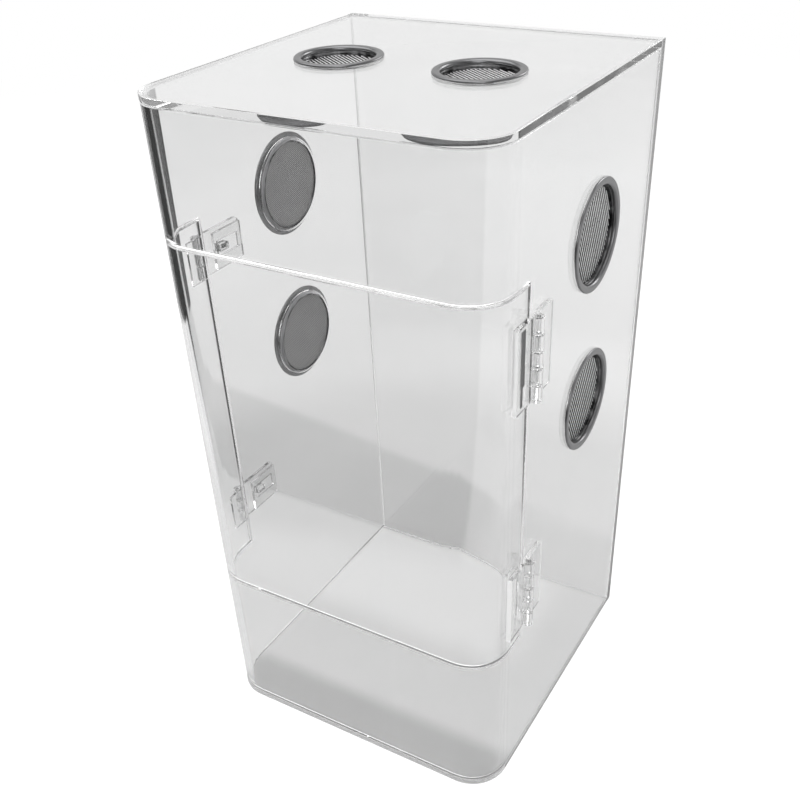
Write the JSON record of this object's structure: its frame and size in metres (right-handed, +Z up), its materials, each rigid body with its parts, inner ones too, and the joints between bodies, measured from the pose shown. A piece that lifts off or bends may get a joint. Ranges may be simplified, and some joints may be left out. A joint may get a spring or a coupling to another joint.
{
  "type": "tarantula enclosure",
  "caption": "Tall clear acrylic box for a climbing tarantula, with a wrap-round hinged front door held by slotted hasps, and metal mesh vents in the top and sides.",
  "frame": {"origin": "on the floor under the middle of the case: the middle of its width, and of its depth from the front face to the back panel's rear face", "axes": "+X to the viewer's right, facing the door, +Y to the back, +Z up"},
  "size_m": [0.1641, 0.1572, 0.3059],
  "materials": {
    "clear_sheet": "clear polished acrylic sheet",
    "clear_moulded": "clear moulded acrylic",
    "vent_metal": "dark nickel, satin",
    "vent_wire": "woven wire, satin"
  },
  "bodies": {
    "case": {"base_panel": "clear_sheet", "top_panel": "clear_sheet", "back_panel": "clear_sheet", "body_shell": "clear_sheet", "vent_cup_left_upper": "vent_metal", "vent_cup_left_lower": "vent_metal", "vent_cup_right_upper": "vent_metal", "vent_cup_right_lower": "vent_metal", "vent_cup_top_left": "vent_metal", "vent_cup_top_right": "vent_metal", "vent_mesh_left_upper": "vent_wire", "vent_mesh_left_lower": "vent_wire", "vent_mesh_right_upper": "vent_wire", "vent_mesh_right_lower": "vent_wire", "vent_mesh_top_left": "vent_wire", "vent_mesh_top_right": "vent_wire", "upper_hinge_wall_leaf": "clear_moulded", "lower_hinge_wall_leaf": "clear_moulded", "upper_hinge_pin": "clear_moulded", "lower_hinge_pin": "clear_moulded", "upper_hasp_staple": "clear_moulded", "lower_hasp_staple": "clear_moulded"},
    "door": {"door_panel": "clear_sheet", "upper_hinge_door_leaf": "clear_moulded", "lower_hinge_door_leaf": "clear_moulded", "upper_hasp_door_leaf": "clear_moulded", "lower_hasp_door_leaf": "clear_moulded", "upper_hasp_pin": "clear_moulded", "lower_hasp_pin": "clear_moulded"},
    "upper_strap": {"upper_hasp_strap": "clear_moulded"},
    "lower_strap": {"lower_hasp_strap": "clear_moulded"}
  },
  "joints": [
    {"name": "door_swing", "type": "hinge", "parent": "case", "child": "door", "pos_m": [0.0794, -0.0486, 0.1631], "axis": [0, 0, 1], "range_deg": [0, 110]},
    {"name": "upper_strap_swing", "type": "hinge", "parent": "door", "child": "upper_strap", "pos_m": [-0.079, -0.0486, 0.2305], "axis": [0, 0, 1], "range_deg": [0, 165]},
    {"name": "lower_strap_swing", "type": "hinge", "parent": "door", "child": "lower_strap", "pos_m": [-0.079, -0.0486, 0.1003], "axis": [0, 0, 1], "range_deg": [0, 165]}
  ],
  "couplings": [
    {"joint": "upper_strap_swing", "follows": "door_swing", "ratio": 1.5},
    {"joint": "lower_strap_swing", "follows": "door_swing", "ratio": 1.5}
  ]
}
